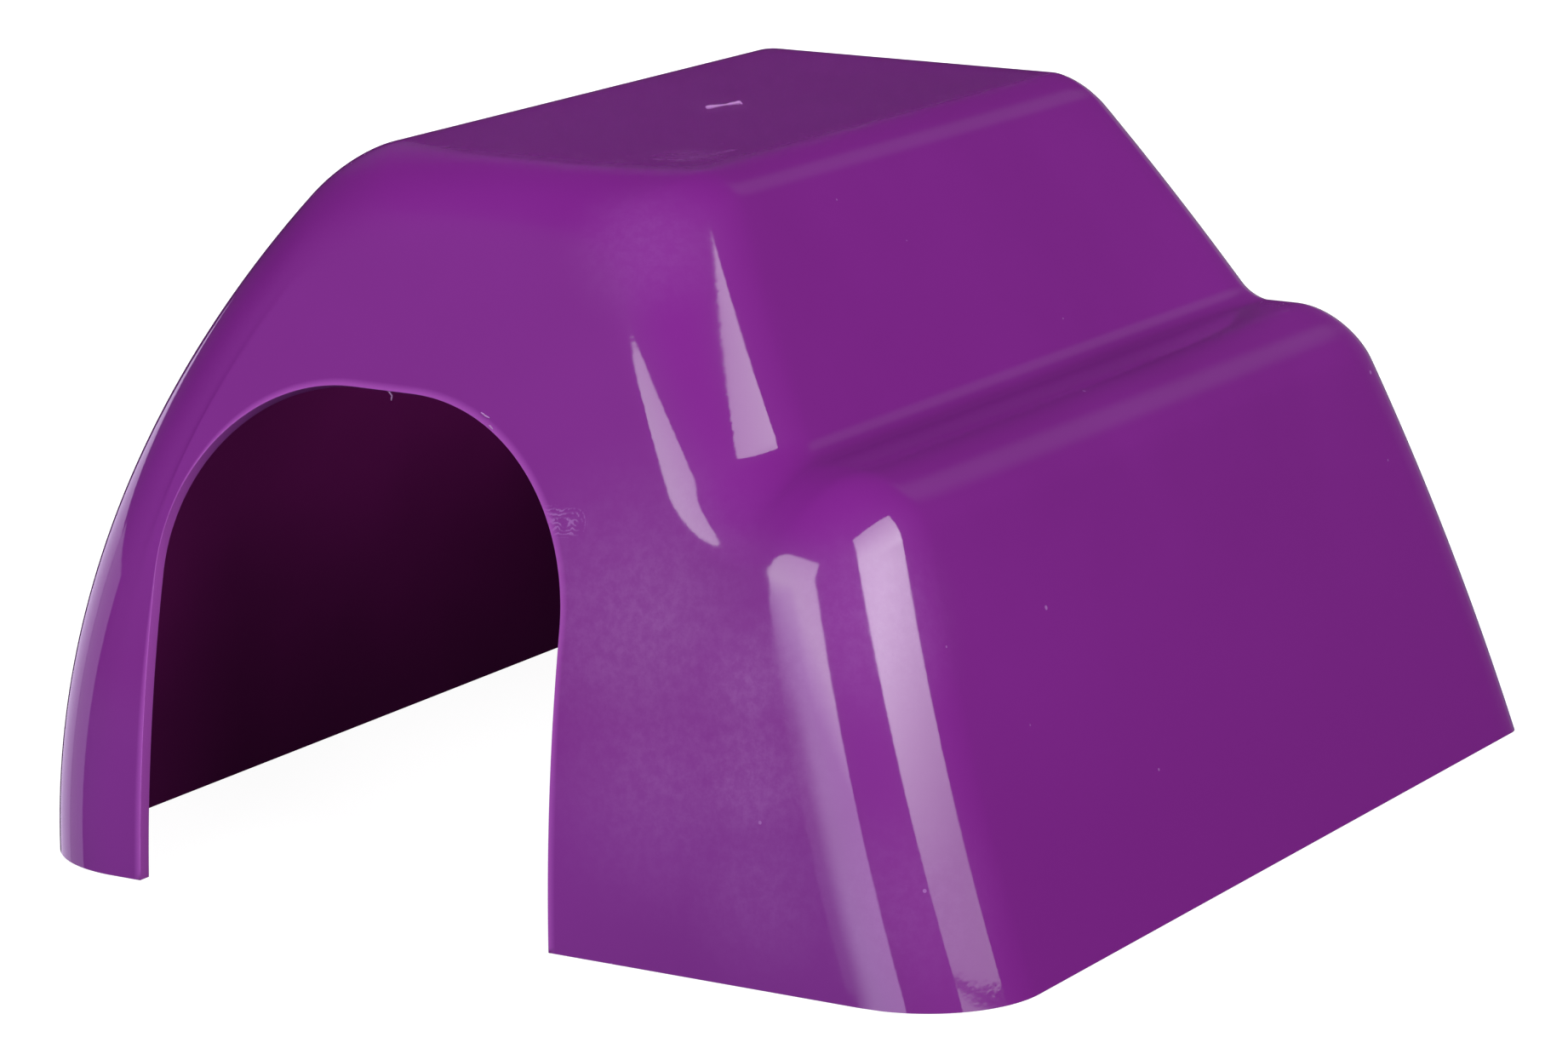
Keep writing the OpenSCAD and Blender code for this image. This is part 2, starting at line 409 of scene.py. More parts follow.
        stretches = {
            "left": (self.left_wall_x(left_z), left_z, self.left_radius(left_z)),
            "roof_left": (roof_left_x, roof_left_z, roof_left_radius),
            "roof": (roof_x, top, self.roof_radius(roof_r)),
            "roof_right": (roof_right_x, roof_right_z, roof_right_radius),
            "upper": (self.upper_wall_x(upper_z), upper_z, self.right_radius(upper_z)),
            "root": (root_x, root_z, root_radius),
            "ledge": (ledge_x, shelf, ledge_r),
            "edge": (edge_x, edge_z, edge_radius),
            "lower": (self.lower_wall_x(lower_z), lower_z, self.right_radius(lower_z)),
        }
        names = list(stretches)
        chosen = stretches[names[-1]]
        for name in reversed(names[:-1]):
            test = below(self.column, self.spans[name][1])
            chosen = tuple(pick(test, here, later) for here, later in zip(stretches[name], chosen))
        return chosen

    def doorway(self):
        """X and Z of the doorway path that faces the point's column."""
        size = self.size
        facing, done = 0.0, 0
        reached = 0.0
        for stretch, part in DOOR_PARTS.items():
            end = self.spans[stretch][1]
            facing = facing + part_of(self.column, done, end) * (part - reached)
            done, reached = end, part
        radius = size["door_corner"]
        spring = size["door_height"] - radius
        flat = size["door_width"] * 0.5 - radius
        half = spring + radius * QUARTER + flat
        gone = facing * half * 2.0
        is_left = below(gone, half)
        climbed = pick(is_left, gone, half * 2.0 - gone)
        turn = (climbed - spring) / radius
        upright_x = size["door_width"] * 0.5 + (spring - climbed) * math_node("TANGENT", size["door_draft"])
        on_arc = below(turn, QUARTER)
        arc_x = pick(on_arc, flat + radius * cosine(turn), half - climbed)
        arc_z = pick(on_arc, spring + radius * sine(turn), size["door_height"])
        is_upright = below(climbed, spring)
        out = pick(is_upright, upright_x, arc_x)
        return size["door_middle"] + pick(is_left, -out, out), pick(is_upright, climbed, arc_z)

    def point(self):
        """X, Y and Z of the point on the outer skin."""
        size = self.size
        ring_x, ring_z, radius = self.outline()
        door_x, door_z = self.doorway()
        reach = root_of((door_x - ring_x) * (door_x - ring_x) + (door_z - ring_z) * (door_z - ring_z))
        start, end = self.strip_span
        to_support = part_of(self.row, start, end - 1) * (1.0 - size["rim_support"] / reach)
        strip = pick(below(self.row, end - 0.5), to_support, 1.0)
        across = self.column / float(sum(OUTLINE_STEPS.values()))
        middle_x = (across - 0.5) * (size["width"] / REAR_LINE_DIVISOR)
        x = mix(mix(middle_x, ring_x, self.rear_wall), door_x, strip)
        z = mix(ring_z * self.rear_wall, door_z, strip)
        turned_away = math_node("MAXIMUM", cosine(self.edge_angle) - strip * reach / radius, 0.0)
        front = self.front_y(z) + radius * (1.0 - root_of(1.0 - turned_away * turned_away))
        rear = self.rear_y(z) - size["rear_edge"] * (1.0 - sine(self.edge_angle))
        return x, mix(rear, front, self.body), z


def combine(x, y, z):
    """A vector socket from three fields."""
    return made(x.socket.id_data, "ShaderNodeCombineXYZ", {"X": x, "Y": y, "Z": z})


def split(socket):
    """The three fields of a vector socket."""
    node = add_node(socket.id_data, "ShaderNodeSeparateXYZ", {0: socket})
    return tuple(Field(out) for out in node.outputs)


# Numbers of the colour sockets of a mix node
MIX_FIRST, MIX_SECOND, MIX_RESULT = 6, 7, 2


def blend(factor, first, second):
    """A colour socket between two colours or colour sockets."""
    links = {"Factor": factor, MIX_FIRST: first, MIX_SECOND: second}
    node = add_node(factor.socket.id_data, "ShaderNodeMix", links, data_type="RGBA")
    return node.outputs[MIX_RESULT]


def step(field, start, end, low, high, kind="LINEAR"):
    """A field that goes from low to high while another goes from start to end."""
    links = {"Value": field, "From Min": start, "From Max": end, "To Min": low, "To Max": high}
    return Field(made(field.socket.id_data, "ShaderNodeMapRange", links, interpolation_type=kind))


def smooth_step(field, start, end, low, high):
    """The same, eased at both ends."""
    return step(field, start, end, low, high, "SMOOTHSTEP")


def store(tree, geometry, name, value, data_type, domain, **links):
    """The geometry with a named attribute stored on it."""
    links = {"Geometry": geometry, "Name": name, "Value": value, **links}
    return made(tree, "GeometryNodeStoreNamedAttribute", links, data_type=data_type, domain=domain)


def stored(tree, name, data_type="FLOAT"):
    """The socket of an attribute stored before."""
    return made(tree, "GeometryNodeInputNamedAttribute", {"Name": name}, data_type=data_type)


def rule_tree(name, group):
    """A Geometry Nodes tree with an input for each value of a property group, and its input node."""
    tree = bpy.data.node_groups.new(name, "GeometryNodeTree")
    tree.interface.new_socket(name="Geometry", in_out="INPUT", socket_type="NodeSocketGeometry")
    for value in group.__annotations__:
        tree.interface.new_socket(name=value, in_out="INPUT", socket_type="NodeSocketFloat")
    tree.interface.new_socket(name="Geometry", in_out="OUTPUT", socket_type="NodeSocketGeometry")
    return tree, tree.nodes.new("NodeGroupInput")


def end_tree(tree, geometry):
    """Lead the geometry to the tree's output."""
    add_node(tree, "NodeGroupOutput", {0: geometry})
    return tree


# Height up to which a point is on the base, share from which an edge is on the rim, distance at which
# points are one, and bend of a sharp edge
ON_BASE = 0.01 * MM
ON_RIM = 0.99
WELD = 0.001 * MM
SHARP_BEND = math.radians(40)


def shell_tree(material, inside_material):
    """Geometry Nodes: a flat grid laid over the house by its rule, given its wall and closed at its rim."""
    tree, given = rule_tree("house_shell_rule", HouseSizes)
    size = {name: Field(given.outputs[name]) for name in HouseSizes.__annotations__}
    columns, rows = sum(OUTLINE_STEPS.values()), sum(ROW_STEPS.values())
    grid = made(
        tree, "GeometryNodeMeshGrid",
        {"Size X": float(columns), "Size Y": float(rows), "Vertices X": columns + 1, "Vertices Y": rows + 1},
    )
    place = made(tree, "GeometryNodeInputPosition")
    grid_x, grid_y, _ = split(place)
    column = math_node("ROUND", grid_x + columns / 2)
    row = math_node("ROUND", grid_y + rows / 2)
    on_rim = 1.0 - below(row, rows - 0.5)
    marked = store(tree, grid, "doorway_rim", on_rim, "FLOAT", "POINT")
    skin = combine(*ShellRule(size, column, row).point())
    laid = made(tree, "GeometryNodeSetPosition", {"Geometry": marked, "Position": skin})
    outer = made(tree, "GeometryNodeFlipFaces", {"Mesh": laid})

    # The inner skin lies one wall inside, and the base rim stays in its plane
    nx, ny, nz = split(made(tree, "GeometryNodeInputNormal"))
    on_base = below(split(place)[2], ON_BASE)
    level = nx * nx + ny * ny
    inward = tuple(
        -size["wall"] * pick(on_base, flat, full)
        for flat, full in ((nx / level, nx), (ny / level, ny), (nz * 0.0, nz))
    )
    with_wall = store(tree, outer, "inward", combine(*inward), "FLOAT_VECTOR", "POINT")
    extruded = add_node(
        tree, "GeometryNodeExtrudeMesh",
        {"Mesh": with_wall, "Offset Scale": 0.0, "Individual": False}, mode="FACES",
    )
    top, offset = extruded.outputs["Top"], stored(tree, "inward", "FLOAT_VECTOR")
    inner = made(
        tree, "GeometryNodeSetPosition",
        {"Geometry": extruded.outputs["Mesh"], "Selection": top, "Offset": offset},
    )
    inside = store(tree, inner, "inside", 1.0, "FLOAT", "FACE", Selection=top)
    joined = tree.nodes.new("GeometryNodeJoinGeometry")
    for skin in (made(tree, "GeometryNodeFlipFaces", {"Mesh": inside}), outer):
        tree.links.new(skin, joined.inputs[0])
    links = {"Geometry": joined.outputs[0], "Distance": WELD}
    closed = made(tree, "GeometryNodeMergeByDistance", links)

    # The doorway's two cut edges are marked for rounding
    rim = Field(stored(tree, "doorway_rim"))
    bend = tree.nodes.new("GeometryNodeInputMeshEdgeAngle").outputs["Unsigned Angle"]
    is_bent = 1.0 - below(Field(bend), SHARP_BEND)
    rounded = rim * (1.0 - below(rim, ON_RIM)) * is_bent
    weighted = store(tree, closed, "bevel_weight_edge", rounded, "FLOAT", "EDGE")
    creased = store(tree, weighted, "sharp_edge", is_bent * (1.0 - rounded), "BOOLEAN", "EDGE")
    smooth = made(tree, "GeometryNodeSetShadeSmooth", {"Geometry": creased})
    outside = made(tree, "GeometryNodeSetMaterial", {"Geometry": smooth, "Material": material})
    links = {"Geometry": outside, "Selection": stored(tree, "inside"), "Material": inside_material}
    return end_tree(tree, made(tree, "GeometryNodeSetMaterial", links))


def new_object(context, name, data):
    """A new object in the scene."""
    item = bpy.data.objects.new(name, data)
    context.scene.collection.objects.link(item)
    return item


def plain_mesh(piece):
    """Make what a piece's modifiers give its own plain mesh."""
    depsgraph = bpy.context.evaluated_depsgraph_get()
    mesh = bpy.data.meshes.new_from_object(piece.evaluated_get(depsgraph))
    if not mesh.polygons:
        raise RuntimeError(f"the rule of {piece.name} made no faces")
    piece.modifiers.clear()
    piece.data = mesh
    mesh.name = piece.name


def add_rule(piece, tree, group):
    """Give a piece a tree as its modifier, with the inputs set from a property group."""
    rule = piece.modifiers.new(tree.name, "NODES")
    rule.node_group = tree
    for item in tree.interface.items_tree:
        if item.in_out == "INPUT" and item.socket_type == "NodeSocketFloat":
            rule[item.identifier] = getattr(group, item.name)


# Noises of the plastic: scale and detail
NOISES = {
    "flow": (14.0, 3.0), "smear": (420.0, 6.0), "warp": (420.0, 3.0), "wear": (45.0, 4.0),
    "ripple": (320.0, 2.0), "grain": (1100.0, 2.0), "patch": (900.0, 3.0),
    "inside_flow": (18.0, 4.0), "inside_grain": (900.0, 3.0),
}
SMEAR_ROUGHNESS = 0.75
# Gain and offset of the flow, and the span of a noise that goes from one colour to another
FLOW_GAIN = (1.6, -0.4)
NOISE_MIDDLE = (0.35, 0.65)
# Painted shade, darker low on the right: over these heights (m) and distances from the middle (m)
PAINTED_SHADE_HEIGHT = (75 * MM, 15 * MM)
PAINTED_SHADE_SIDE = (80 * MM, 100 * MM)
# Painted light from above: the inside is painted paler towards the top over these heights (m), from the
# first share of its colour to the second. Where the flow is dark it has a share of that, and its shine is
# low.
INSIDE_PAINTED_LIGHT_HEIGHT = (0.0, 80 * MM)
INSIDE_PAINTED_LIGHT_LEVELS = (0.68, 1.42)
INSIDE_DARK = 0.85
INSIDE_SPECULAR = 0.04
# Span of the noise over which the roughness of the inside, and of a mould mark, goes from 0 to 1
INSIDE_ROUGHNESS = (-0.4, 1.4)
MARK_ROUGHNESS = (1.1, 0.1)
# Rubbed places, partly painted sheen beside the highlights: middle and reach (mm), and how strongly each is
# rubbed
RUBBED_AND_SHEEN = {
    "right_of_door": ((36, -122, 68), 42, 0.8),
    "low_right_of_door": ((45, -127, 40), 38, 0.7),
    "corner_upper": ((62, -124, 60), 24, 0.9),
    "corner_middle": ((64, -127, 42), 24, 1.0),
    "corner_lower": ((67, -129, 22), 26, 0.6),
    "corner_right": ((82, -113, 72), 26, 0.6),
    "corner_foot": ((96, -124, 20), 26, 0.4),
    "roof_corner": ((21, -96, 138), 20, 0.5),
    "roof_front": ((11, -61, 150), 14, 0.4),
    "roof_gate": ((-17.5, -1, 150), 12, 0.35),
}
# Scuffs: ends and half width (mm), and how strong each is
SCUFFS = {
    "roof_left": (((6, -68.5, 150), (12, -66, 150)), 0.9, 0.8),
    "roof_middle": (((11.7, -62.8, 150), (13.1, -60.8, 150)), 0.8, 0.8),
    "roof_edge": (((2, -78.2, 150), (1.4, -80.5, 149.6)), 0.9, 0.6),
    "roof_right": (((13.4, -59.3, 150), (14.4, -50.1, 150)), 0.9, 0.55),
}
# A smudged print beside the doorway: the line that its loops run round, their reach, how far out they are
# at their strongest and their spacing (mm), and how many spacings the noise shifts them
PRINT_ENDS = ((12, -119, 85.2), (18.5, -118.7, 85.8))
PRINT_REACH = 3.8
PRINT_FULL = PRINT_REACH * 0.5
PRINT_SPACING = 0.95
PRINT_WARP = 3.0
# Start, end and levels of what breaks up rubbed places, scuffs and the loops of the print
PATCHY = (0.35, 0.7, 0.45, 1.0)
BROKEN = (0.42, 0.56, 0.1, 1.0)
LOOPS = (0.0, 0.8, 0.15, 1.0)
# Specks: cells for one metre, least size and spread in a cell, share of cells with one, and relief
SPECK_CELLS = 150.0
SPECK_LEAST, SPECK_SPREAD = 0.03, 0.05
SPECK_CHANCE = 0.08
SPECK_RELIEF = 2.0
# How much of the haze a rubbed place (partly painted sheen), a scuff and a speck show
RUBBED_SHOWS, SCUFF_SHOWS, SPECK_SHOWS = 0.3, 0.5, 0.55
# Dull body and clear skin, the span of wear and its levels, the grain's share of the relief
SKIN = {"IOR": 1.49, "Specular IOR Level": 0.05, "Coat Weight": 1.0, "Coat IOR": 1.58}
WEAR = (0.35, 0.7)
WEAR_LEVELS = (0.7, 1.4)
GRAIN_SHARE = 0.3
# Depth of the relief (m)
SKIN_RELIEF, INSIDE_RELIEF, MARK_RELIEF = 0.008 * MM, 0.02 * MM, 0.03 * MM


def new_material(name):
    """A material with its tree and its shader."""
    material = bpy.data.materials.new(name)
    material.use_nodes = True
    tree = material.node_tree
    return material, tree, tree.nodes["Principled BSDF"]


def object_place(tree):
    """The place of each point on the piece itself."""
    return tree.nodes.new("ShaderNodeTexCoord").outputs["Object"]


def noise(place, name, **links):
    """One of the plastic's noises."""
    scale, detail = NOISES[name]
    links = {"Vector": place, "Scale": scale, "Detail": detail, **links}
    return Field(made(place.id_data, "ShaderNodeTexNoise", links))


def vector_math(tree, operation, links, output="Vector"):
    """The result of one vector math node."""
    return add_node(tree, "ShaderNodeVectorMath", links, operation=operation).outputs[output]


def relief(height, depth):
    """Fine relief of a given depth, as a normal."""
    links = {"Height": height, "Strength": 1.0, "Distance": depth}
    return made(height.socket.id_data, "ShaderNodeBump", links)


def line_distance(place, ends):
    """Distance of each point from the line between two places (mm)."""
    tree = place.id_data
    start, end = (Vector(point) * MM for point in ends)
    run = end - start
    from_start = vector_math(tree, "SUBTRACT", {0: place, 1: start})
    gone = vector_math(tree, "DOT_PRODUCT", {0: from_start, 1: run}, "Value")
    part = part_of(Field(gone), 0.0, run.length_squared)
    nearest = vector_math(tree, "SCALE", {0: run, "Scale": part})
    return Field(vector_math(tree, "DISTANCE", {0: from_start, 1: nearest}, "Value"))


def plastic_material(finish):
    """Glossy moulded plastic: a dull body under a clear skin, rubbed and scuffed, with specks. Its rubbed
    places are partly painted sheen beside the highlights, its doorway edge is painted light, and it is
    painted darker low on the right as painted shade.
    """
    material, tree, shader = new_material("glossy_purple_plastic")
    place = object_place(tree)

    flow_and_painted_shade = math_node("MULTIPLY_ADD", noise(place, "flow"), *FLOW_GAIN, clamp=True)
    x, _, z = split(place)
    # Painted shade: the purple is painted darker low on the right, where the light falls off towards the
    # base
    low = smooth_step(z, *PAINTED_SHADE_HEIGHT, 0.0, 1.0)
    painted_shade_low_right = low * smooth_step(x, *PAINTED_SHADE_SIDE, 0.0, 1.0)
    flow_and_painted_shade = flow_and_painted_shade * (1.0 - painted_shade_low_right)
    tint = blend(flow_and_painted_shade, (*finish.deep_purple, 1), (*finish.purple, 1))

    smear = noise(place, "smear", Roughness=SMEAR_ROUGHNESS)
    # Rubbed places: a rougher skin, and a paler colour that is painted sheen beside the highlights
    rubbed_and_sheen = None
    for middle, reach, amount in RUBBED_AND_SHEEN.values():
        middle = tuple(part * MM for part in middle)
        away = Field(vector_math(tree, "DISTANCE", {0: place, 1: middle}, "Value"))
        near = smooth_step(away, reach * MM, 0.0, 0.0, amount)
        rubbed_and_sheen = near if rubbed_and_sheen is None else math_node("MAXIMUM", rubbed_and_sheen, near)
    rubbed_and_sheen = rubbed_and_sheen * smooth_step(smear, *PATCHY)

    away = line_distance(place, PRINT_ENDS)
    warp = noise(place, "warp") * PRINT_WARP
    loop = sine((away / (PRINT_SPACING * MM) + warp) * math.tau)
    scuffed = smooth_step(loop, *LOOPS)
    scuffed = scuffed * smooth_step(away, PRINT_REACH * MM, PRINT_FULL * MM, 0.0, 1.0)
    for ends, reach, amount in SCUFFS.values():
        away = line_distance(place, ends)
        near = smooth_step(away, reach * MM, 0.0, 0.0, amount)
        scuffed = math_node("MAXIMUM", scuffed, near)
    scuffed = scuffed * smooth_step(smear, *BROKEN)

    cells = add_node(tree, "ShaderNodeTexVoronoi", {"Vector": place, "Scale": SPECK_CELLS})
    chance = split(cells.outputs["Color"])
    speck_size = chance[1] * SPECK_SPREAD + SPECK_LEAST
    specks = below(Field(cells.outputs["Distance"]), speck_size) * below(chance[0], SPECK_CHANCE)

    marks = math_node("MAXIMUM", rubbed_and_sheen * RUBBED_SHOWS, scuffed * SCUFF_SHOWS)
    marks = math_node("MAXIMUM", marks, specks * SPECK_SHOWS)
    tint = blend(marks, tint, (*finish.haze, 1))
    # Painted light: the doorway's cut edge is painted paler, as if lit
    rim = add_node(tree, "ShaderNodeAttribute", attribute_name="doorway_rim").outputs["Fac"]
    tint = blend(Field(rim), tint, (*finish.rim_purple, 1))

    levels = (finish.roughness * level for level in WEAR_LEVELS)
    clean = smooth_step(noise(place, "wear"), *WEAR, *levels)
    worn = mix(clean, finish.rubbed_roughness, rubbed_and_sheen * RUBBED_SHOWS)
    height = noise(place, "ripple") + noise(place, "grain") * GRAIN_SHARE
    normal = relief(height + specks * SPECK_RELIEF, SKIN_RELIEF)
    shader.inputs["Coat Roughness"].default_value = finish.roughness
    set_inputs(shader, {
        "Base Color": tint, "Roughness": finish.body_roughness, "Coat Roughness": worn,
        "Normal": normal, "Coat Normal": normal, **SKIN,
    })
    return material


def painted_shade_inside_plastic(finish):
    """Satin plastic of the inside: a darker, redder copy of the purple that is painted shade of the inside
    and painted red light through the thin walls; duller, with the faint flow of the moulding.
    """
    material, tree, shader = new_material("painted_shade_satin_plastic")
    place = object_place(tree)
    flow = noise(place, "inside_flow")
    dark = (*(part * INSIDE_DARK for part in finish.inside_purple), 1)
    tint = blend(part_of(flow, *NOISE_MIDDLE), dark, (*finish.inside_purple, 1))
    # Painted light: the inside is painted paler towards the top, where the light falls from above
    painted_light_lift = smooth_step(split(place)[2], *INSIDE_PAINTED_LIGHT_HEIGHT, *INSIDE_PAINTED_LIGHT_LEVELS)
    tint = vector_math(tree, "SCALE", {0: tint, "Scale": painted_light_lift})
    set_inputs(shader, {
        "Base Color": tint, "Roughness": part_of(flow, *INSIDE_ROUGHNESS),
        "Specular IOR Level": INSIDE_SPECULAR,
        "Normal": relief(noise(place, "inside_grain"), INSIDE_RELIEF),
    })
    return material


# Segments of the doorway edge's rounding
RIM_SEGMENTS = 5


class HOUSE_OT_shell(bpy.types.Operator):
    """Build the moulded shell of the house"""

    bl_idname = "house.build_shell"
    bl_label = "Build Shell"

    def execute(self, context):
        sizes, finish = context.scene.house_sizes, context.scene.house_finish
        shell = new_object(context, "moulded_shell", bpy.data.meshes.new("moulded_shell"))
        add_rule(shell, shell_tree(plastic_material(finish), painted_shade_inside_plastic(finish)), sizes)
        rounded = shell.modifiers.new("doorway_edge", "BEVEL")
        rounded.limit_method = "WEIGHT"
        rounded.width = sizes.rim_round
        rounded.segments = RIM_SEGMENTS
        rounded.harden_normals = False
        plain_mesh(shell)
        for corner in shell.data.vertices:
            corner.co.z = max(corner.co.z, 0.0)
        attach(shell, BODY)
        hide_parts(SHELL_NODE)
        return {"FINISHED"}


# Mould marks: the radius of the dots at the ends and between them (mm), and the path (mm)
MARKS = {
    "gate": (0.5, 0.2, ((-19, -5.1, 150), (-17.6, -0.7, 150), (-16.6, 3.9, 150))),
    "gate_tail": (0.22, 0.22, ((-16.6, 3.9, 150), (-15.2, 2.6, 150))),
    "crown_burr": (0.16, 0.2, (
        (-32, -111.4, 106), (-30.2, -111.4, 105.8), (-29.4, -111.4, 104.9), (-29.6, -111.4, 104),
    )),
    "side_dash": (0.15, 0.2, ((-6.8, -113, 104.1), (-5.8, -113.1, 103.6), (-4.7, -113.3, 103.3))),
    "side_burr": (0.16, 0.18, ((-4.4, -113.75, 101.85), (-3.6, -113.9, 101.25))),
}
MARK_SEED = 7
# Segments and rings of one dot
DOT_SEGMENTS, DOT_RINGS = 12, 8
# Numbers of the plain number sockets of a random value node
RANDOM_LEAST, RANDOM_MOST, RANDOM_RESULT = 2, 3, 1


def marks_mesh():
    """The paths of the mould marks as lines, with the radius of the dots along them."""
    points, lines, radii = [], [], []
    for end, between, path in MARKS.values():
        first, last = len(points), len(points) + len(path) - 1
        points += [Vector(point) * MM for point in path]
        lines += [(index, index + 1) for index in range(first, last)]
        radii += [end * MM, *[between * MM] * (len(path) - 2), end * MM]
    mesh = bpy.data.meshes.new("mould_marks")
    mesh.from_pydata(points, lines, [])
    mesh.attributes.new("radius_here", "FLOAT", "POINT").data.foreach_set("value", radii)
    return mesh


def marks_tree(material):
    """Geometry Nodes: uneven flat dots set close together along each path."""
    tree, given = rule_tree("mould_mark_rule", HouseMarks)
    path = made(tree, "GeometryNodeMeshToCurve", {"Mesh": given.outputs["Geometry"]})
    links = {"Curve": path, "Length": given.outputs["spacing"]}
    points = made(tree, "GeometryNodeResampleCurve", links, mode="LENGTH")
    links = {"Segments": DOT_SEGMENTS, "Rings": DOT_RINGS, "Radius": 1.0}
    dot = made(tree, "GeometryNodeMeshUVSphere", links)
    uneven = Field(given.outputs["unevenness"])
    links = {RANDOM_LEAST: 1.0 - uneven, RANDOM_MOST: 1.0 + uneven, "Seed": MARK_SEED}
    chance = add_node(tree, "FunctionNodeRandomValue", links, data_type="FLOAT")
    across = Field(stored(tree, "radius_here")) * Field(chance.outputs[RANDOM_RESULT])
    scale = combine(across, across, across * Field(given.outputs["flatness"]))
    links = {"Points": points, "Instance": dot, "Scale": scale}
    dots = made(tree, "GeometryNodeInstanceOnPoints", links)
    realized = made(tree, "GeometryNodeRealizeInstances", {"Geometry": dots})
    smooth = made(tree, "GeometryNodeSetShadeSmooth", {"Geometry": realized})
    links = {"Geometry": smooth, "Material": material}
    return end_tree(tree, made(tree, "GeometryNodeSetMaterial", links))


def whitened_plastic(finish):
    """Stretched plastic of the mould marks: pale, dull and uneven."""
    material, tree, shader = new_material("whitened_plastic")
    patch = noise(object_place(tree), "patch")
    tint = blend(part_of(patch, *NOISE_MIDDLE), (*finish.haze, 1), (*finish.whitened, 1))
    set_inputs(shader, {
        "Base Color": tint, "Roughness": part_of(patch, *MARK_ROUGHNESS),
        "Normal": relief(patch, MARK_RELIEF),
    })
    return material


class HOUSE_OT_marks(bpy.types.Operator):
    """Add the marks that the mould left: the gate on the roof and burrs on the doorway's edge"""

    bl_idname = "house.add_marks"
    bl_label = "Add Mould Marks"

    def execute(self, context):
        marks = new_object(context, "mould_marks", marks_mesh())
        tree = marks_tree(whitened_plastic(context.scene.house_finish))
        add_rule(marks, tree, context.scene.house_marks)
        plain_mesh(marks)
        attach(marks, BODY)
        return {"FINISHED"}


# Camera: its turn, tilt, distance and aim were fitted to the house's outline in the photograph
IMAGE_WIDTH = 1842
SENSOR = 36.0
FOCAL_PIXELS = 6983.24
CAMERA_TURN = math.radians(30.4467)
CAMERA_TILT = math.radians(13.0713)
CAMERA_DISTANCE = 1302.529 * MM
AIM_RIGHT = -2.6939 * MM
AIM_UP = 56.719 * MM
CLIP_START = 10 * MM


class HOUSE_OT_camera(bpy.types.Operator):
    """Place the camera at the photograph's viewing angle"""

    bl_idname = "house.place_camera"
    bl_label = "Place Camera"

    def execute(self, context):
        level = math.cos(CAMERA_TILT)
        back = Vector((math.sin(CAMERA_TURN) * level, -math.cos(CAMERA_TURN) * level, math.sin(CAMERA_TILT)))
        right = Vector((math.cos(CAMERA_TURN), math.sin(CAMERA_TURN), 0))
        up = back.cross(right)
        lens = bpy.data.cameras.new("camera")
        lens.sensor_width = SENSOR
        lens.sensor_fit = "HORIZONTAL"
        lens.lens = FOCAL_PIXELS * SENSOR / IMAGE_WIDTH
        lens.clip_start = CLIP_START
        camera = new_object(context, "camera", lens)
        turn = Matrix((right, up, back)).transposed().to_4x4()
        place = right * AIM_RIGHT + up * AIM_UP + back * CAMERA_DISTANCE
        camera.matrix_world = Matrix.Translation(place) @ turn
        context.scene.camera = camera
        return {"FINISHED"}


# Softboxes, seen from the lit corner: turn from the front and half width (degrees), distance (m) and height
# (degrees) of the lower and the upper end, and brightness at the foot, where it has grown, and at the top.
# Some also say where along the height it grows and the tint at the foot; a cut one has a rounded corner.
# Half widths are seen at the softbox distance (m). A card keeps the foot's brightness and tint to its top.
LIT_CORNER = Vector((85 * MM, -115 * MM, 65 * MM))
SOFTBOX_DISTANCE = 2.2
WHITE = (1.0, 1.0, 1.0)
ONLY_FOOT = {"grows": (1.0, 2.0), "foot_tint": (1.2, 1.0, 1.4)}
SOFTBOXES = (
    {"name": "softbox_front", "turn": -6.1, "half_width": 20.3, "low": (2.2, -18.0), "high": (2.2, 39.0),
     "levels": (0.62, 1.3, 1.0),
     "led": {"grows": (0.45, 0.6), "foot_tint": (1.1, 0.98, 1.3), "cut": True}},
    {"name": "softbox_right", "turn": 84.5, "half_width": 22.5, "low": (2.3, 9.7), "high": (1.5, 55.5),
     "levels": (0.58, 1.9, 1.0), "led": {"grows": (0.1, 0.375)}},
    {"name": "strip_right", "turn": 84.5, "half_width": 22.5, "low": (2.3, 3.0), "high": (2.3, 8.8),
     "levels": (0.5, 0.6, 0.6), "led": {}},
    {"name": "card_left_near", "turn": -84.0, "half_width": 10.0, "low": (2.2, -18.0), "high": (2.2, 4.0),
     "levels": (0.175, 0.175, 0.175), "led": ONLY_FOOT},
    {"name": "card_left_far", "turn": -109.5, "half_width": 15.0, "low": (2.2, -18.0), "high": (2.2, 3.0),
     "levels": (0.235, 0.235, 0.235), "led": ONLY_FOOT},
)
# Panels that the gloss doesn't see: ends and width (m). One with a place hangs there and faces down.
PANELS = (
    {"name": "overhead_panel", "level": "overhead", "width": 1.2,
     "ends": ((-1.6, -1.2, 1.4), (-1.6, 0.3, 1.7))},
    {"name": "left_panel", "level": "left", "width": 1.5,
     "ends": ((-1.5, -2.0, 0.03), (-1.5, -2.0, 0.63))},
    {"name": "rear_panel", "level": "rear", "width": 1.2,
     "ends": ((-1.2, 1.6, 0.5), (-1.2, 1.4, 1.2))},
    {"name": "inside_glow", "level": "inside", "width": 0.05,
     "ends": ((0, -0.075, 0), (0, 0.075, 0)), "place": (-18 * MM, 0, 138 * MM)},
)
# A cut softbox, in parts of its width and height: size of the rounded corner, start, end and levels of the
# fading at its side, and the heights between which that fading ends
CUT_WIDTH, CUT_HEIGHT = 0.32, 0.2
SIDE_FADE = (0.0, 0.34, 0.15, 1.0)
SIDE_FADE_ENDS = (0.3, 0.55)
